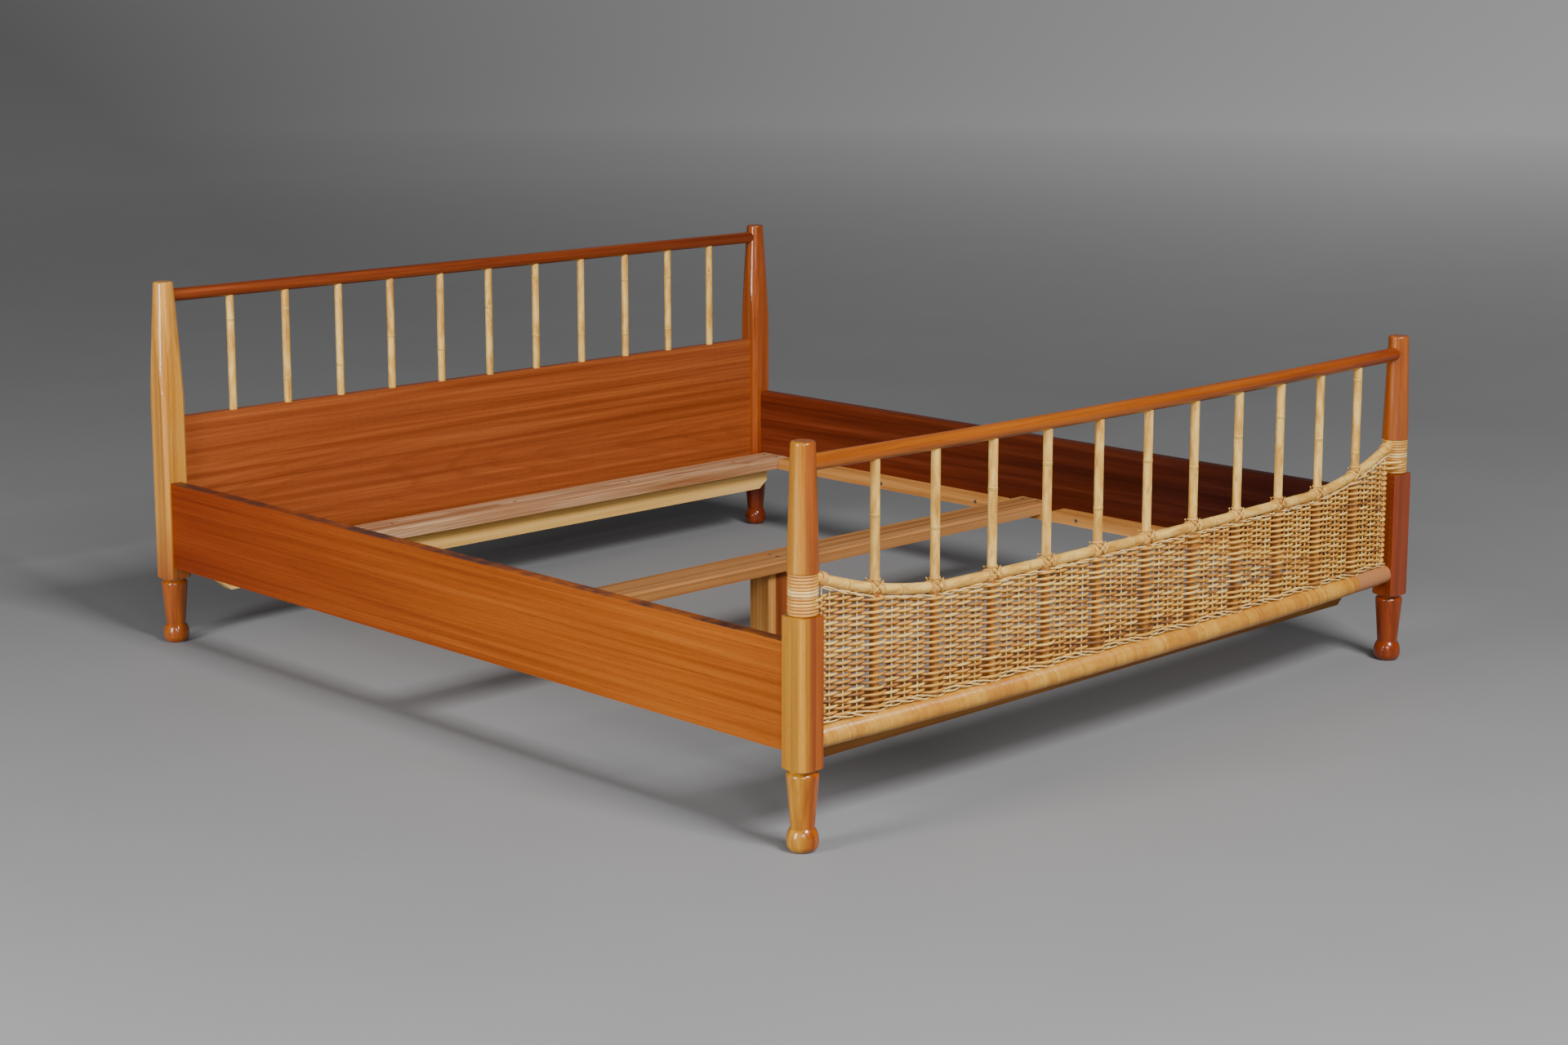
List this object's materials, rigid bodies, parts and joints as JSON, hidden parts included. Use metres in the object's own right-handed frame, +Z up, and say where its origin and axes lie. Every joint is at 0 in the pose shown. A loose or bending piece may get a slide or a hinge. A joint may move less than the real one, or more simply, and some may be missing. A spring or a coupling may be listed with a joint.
{
  "type": "double bed frame",
  "caption": "Double bed frame with turned wooden posts, spindled headboard over a solid panel, bowed rattan footboard with a woven cane panel, and side rails with cross beams for a bed base.",
  "frame": {"origin": "on the floor midway between the four posts, at the underside of the centre leg", "axes": "+X to the right seen from the foot, +Y towards the head, +Z up"},
  "size_m": [1.922, 2.135, 0.838],
  "materials": {
    "screw_steel": "zinc plated steel",
    "wound_cane": "wound cane, satin",
    "leg_wood": "softwood, sawn",
    "rattan_pole": "peeled rattan, satin",
    "rib_wood": "pale softwood, sawn",
    "core_pole": "rattan core",
    "beam_wood": "reddish softwood, planed",
    "post_wood": "turned hardwood, satin varnish",
    "top_rail_wood": "round hardwood rail, satin varnish",
    "panel_wood": "figured hardwood, satin varnish",
    "lashing_cane": "split cane, satin",
    "ledger_wood": "ochre softwood, planed",
    "fitting_steel": "zinc plated steel",
    "side_rail_wood": "figured hardwood, satin varnish",
    "woven_cane": "woven cane, matte"
  },
  "bodies": {
    "root": {"beam_screws": "screw_steel", "bottom_rail_cane_wrap": "wound_cane", "centre_leg_cheek_left": "leg_wood", "centre_leg_cheek_right": "leg_wood", "centre_leg_core": "leg_wood", "curved_rattan_rail": "rattan_pole", "foot_beam_rib": "rib_wood", "foot_bottom_rail": "core_pole", "foot_cross_beam": "beam_wood", "foot_lower_spindles": "rattan_pole", "foot_post_left": "post_wood", "foot_post_right": "post_wood", "foot_spindle_01": "rattan_pole", "foot_spindle_02": "rattan_pole", "foot_spindle_03": "rattan_pole", "foot_spindle_04": "rattan_pole", "foot_spindle_05": "rattan_pole", "foot_spindle_06": "rattan_pole", "foot_spindle_07": "rattan_pole", "foot_spindle_08": "rattan_pole", "foot_spindle_09": "rattan_pole", "foot_spindle_10": "rattan_pole", "foot_spindle_11": "rattan_pole", "foot_top_rail": "top_rail_wood", "head_beam_rib": "rib_wood", "head_cross_beam": "beam_wood", "head_panel": "panel_wood", "head_post_left": "post_wood", "head_post_right": "post_wood", "head_spindle_01": "rattan_pole", "head_spindle_02": "rattan_pole", "head_spindle_03": "rattan_pole", "head_spindle_04": "rattan_pole", "head_spindle_05": "rattan_pole", "head_spindle_06": "rattan_pole", "head_spindle_07": "rattan_pole", "head_spindle_08": "rattan_pole", "head_spindle_09": "rattan_pole", "head_spindle_10": "rattan_pole", "head_spindle_11": "rattan_pole", "head_top_rail": "top_rail_wood", "hoop_end_lashings": "lashing_cane", "ledger_left": "ledger_wood", "ledger_right": "ledger_wood", "ledger_screws": "screw_steel", "leg_screws": "screw_steel", "middle_cross_beam": "beam_wood", "post_band_left": "wound_cane", "post_band_right": "wound_cane", "post_strike_plates": "fitting_steel", "post_winding_left": "wound_cane", "post_winding_right": "wound_cane", "rail_hook_plates": "fitting_steel", "rib_screws": "screw_steel", "side_rail_left": "side_rail_wood", "side_rail_right": "side_rail_wood", "spindle_lashings": "lashing_cane", "wicker_panel": "woven_cane"}
  },
  "joints": []
}
